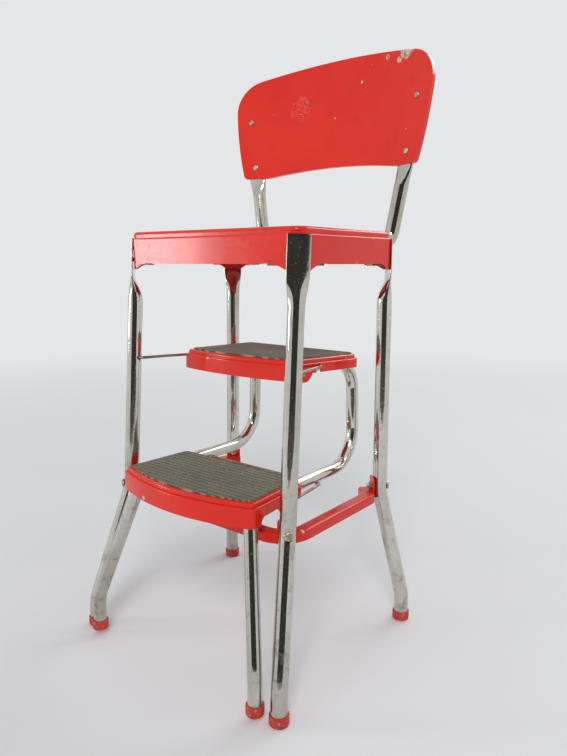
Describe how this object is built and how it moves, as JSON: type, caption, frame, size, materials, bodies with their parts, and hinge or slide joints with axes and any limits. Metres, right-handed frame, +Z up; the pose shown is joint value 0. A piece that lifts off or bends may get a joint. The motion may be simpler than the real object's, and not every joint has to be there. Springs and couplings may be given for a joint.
{
  "type": "folding step stool chair",
  "caption": "Kitchen step stool chair with a red enamelled seat and curved back, chromed bent tube legs and a step unit that swings out on wire links.",
  "frame": {"origin": "centre of the bounding box on the floor", "axes": "+X to the right as seen from the front, +Y from the front to the back, +Z up"},
  "size_m": [0.396, 0.4204, 0.892],
  "materials": {
    "red_enamel": "gloss",
    "chrome_tube": "polished",
    "plain_wire": "satin",
    "plated_hardware": "satin",
    "dark_steel": "matte",
    "rubber_mat": "matte",
    "red_rubber": "satin"
  },
  "bodies": {
    "chair_frame": {"front_left_leg": "chrome_tube", "front_right_leg": "chrome_tube", "rear_left_leg": "chrome_tube", "rear_right_leg": "chrome_tube", "front_left_foot_cap": "red_rubber", "front_right_foot_cap": "red_rubber", "rear_left_foot_cap": "red_rubber", "rear_right_foot_cap": "red_rubber", "seat_pan": "red_enamel", "front_left_seat_bracket": "dark_steel", "front_right_seat_bracket": "dark_steel", "rear_left_seat_bracket": "dark_steel", "rear_right_seat_bracket": "dark_steel", "seat_studs": "plated_hardware", "seat_nuts": "plated_hardware", "lower_brace": "red_enamel", "brace_bolts": "plated_hardware", "brace_nuts": "plated_hardware", "back_post_left": "chrome_tube", "back_post_right": "chrome_tube", "back_panel": "red_enamel", "panel_rivets": "plated_hardware", "post_bolts": "plated_hardware", "post_nuts": "plated_hardware"},
    "upper_link": {"upper_bail": "plain_wire"},
    "lower_link": {"lower_bail": "plain_wire"},
    "step_unit": {"step_tube_left": "chrome_tube", "step_foot_cap_left": "red_rubber", "step_tube_right": "chrome_tube", "step_foot_cap_right": "red_rubber", "upper_step_pan": "red_enamel", "lower_step_pan": "red_enamel", "upper_tread_mat": "rubber_mat", "lower_tread_mat": "rubber_mat"}
  },
  "joints": [
    {"name": "upper_link_swing", "type": "hinge", "parent": "chair_frame", "child": "upper_link", "pos_m": [0, -0.11679, 0.42352], "axis": [1, 0, 0], "range_deg": [0, 187.17]},
    {"name": "step_unit_pivot", "type": "hinge", "parent": "upper_link", "child": "step_unit", "pos_m": [0, 0.00321, 0.42052], "axis": [1, 0, 0], "range_deg": [-187.17, 0]},
    {"name": "lower_link_swing", "type": "hinge", "parent": "chair_frame", "child": "lower_link", "pos_m": [0, -0.12816, 0.25293], "axis": [1, 0, 0], "range_deg": [0, 187.17]}
  ],
  "couplings": [
    {"joint": "step_unit_pivot", "follows": "upper_link_swing", "ratio": -1},
    {"joint": "lower_link_swing", "follows": "upper_link_swing", "ratio": 1}
  ]
}
